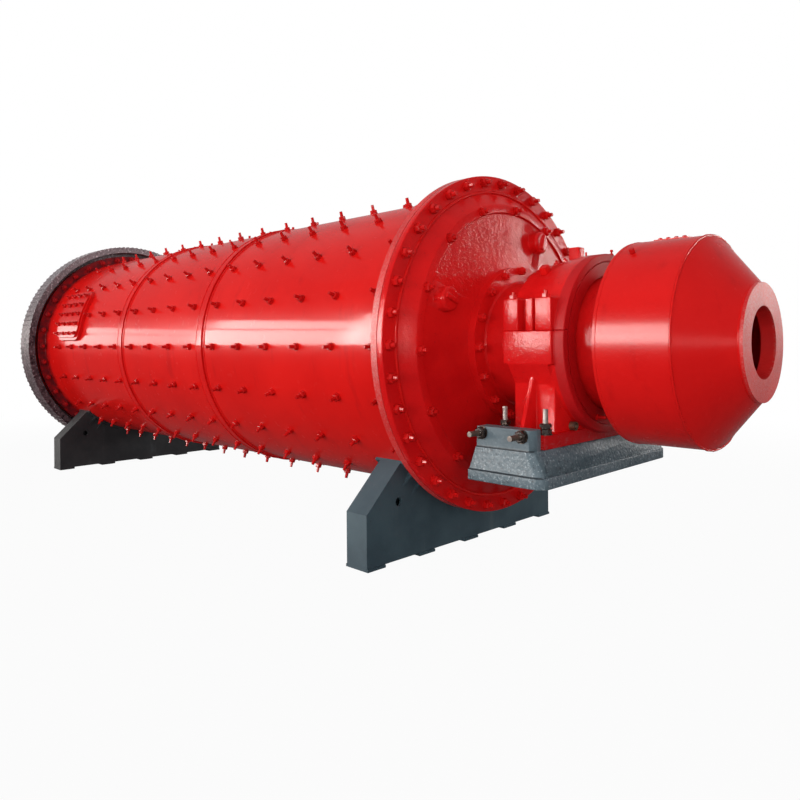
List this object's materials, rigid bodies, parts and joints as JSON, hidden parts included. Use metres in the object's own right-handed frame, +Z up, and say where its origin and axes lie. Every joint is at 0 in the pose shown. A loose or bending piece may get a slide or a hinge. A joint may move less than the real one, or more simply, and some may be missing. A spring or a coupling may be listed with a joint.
{
  "type": "ball mill",
  "caption": "Horizontal ball mill drum with girth gear, split trunnion bearings on sole plates and a drum feeder, lying in two welded saddles.",
  "frame": {"origin": "on the ground, under the middle of the whole mill", "axes": "+X along the mill's axis to the feed end, +Z up, manhole on the -Y side"},
  "size_m": [7.789, 2.2398, 2.396],
  "materials": {
    "red_paint": "gloss",
    "red_casting": "gloss on rough casting",
    "saddle_paint": "satin",
    "sole_plate_paint": "hammered",
    "gear_iron": "greasy",
    "bare_steel": "bare"
  },
  "bodies": {
    "base": {"drive_adjusting_screws": "bare_steel", "drive_anchor_studs": "bare_steel", "drive_bearing_base": "red_casting", "drive_bearing_cap": "red_casting", "drive_bearing_cap_bolts": "red_paint", "drive_bearing_end_covers": "red_paint", "drive_saddle_cradle": "saddle_paint", "drive_saddle_end_plates": "saddle_paint", "drive_saddle_feet": "saddle_paint", "drive_saddle_gussets": "saddle_paint", "drive_saddle_side_plates": "saddle_paint", "drive_sole_plate": "sole_plate_paint", "feed_adjusting_screws": "bare_steel", "feed_anchor_studs": "bare_steel", "feed_bearing_base": "red_casting", "feed_bearing_cap": "red_casting", "feed_bearing_cap_bolts": "red_paint", "feed_bearing_end_covers": "red_paint", "feed_saddle_cradle": "saddle_paint", "feed_saddle_end_plates": "saddle_paint", "feed_saddle_feet": "saddle_paint", "feed_saddle_gussets": "saddle_paint", "feed_saddle_side_plates": "saddle_paint", "feed_sole_plate": "sole_plate_paint"},
    "drum": {"drive_head": "red_casting", "drive_shell_flange": "red_paint", "drive_trunnion": "red_paint", "drum_shell": "red_paint", "feed_head": "red_casting", "feed_shell_flange": "red_paint", "feed_trunnion": "red_paint", "feeder_back_plate": "red_paint", "feeder_cone": "red_paint", "feeder_drum": "red_paint", "feeder_mouth": "red_paint", "girth_gear_lower": "gear_iron", "girth_gear_upper": "gear_iron", "manhole_cover": "red_paint", "manhole_frame": "red_paint", "seam_belts": "red_paint"}
  },
  "joints": [
    {"name": "drum_spin", "type": "hinge", "parent": "base", "child": "drum", "pos_m": [0, 0, 1.276], "axis": [1, 0, 0], "continuous": true}
  ]
}
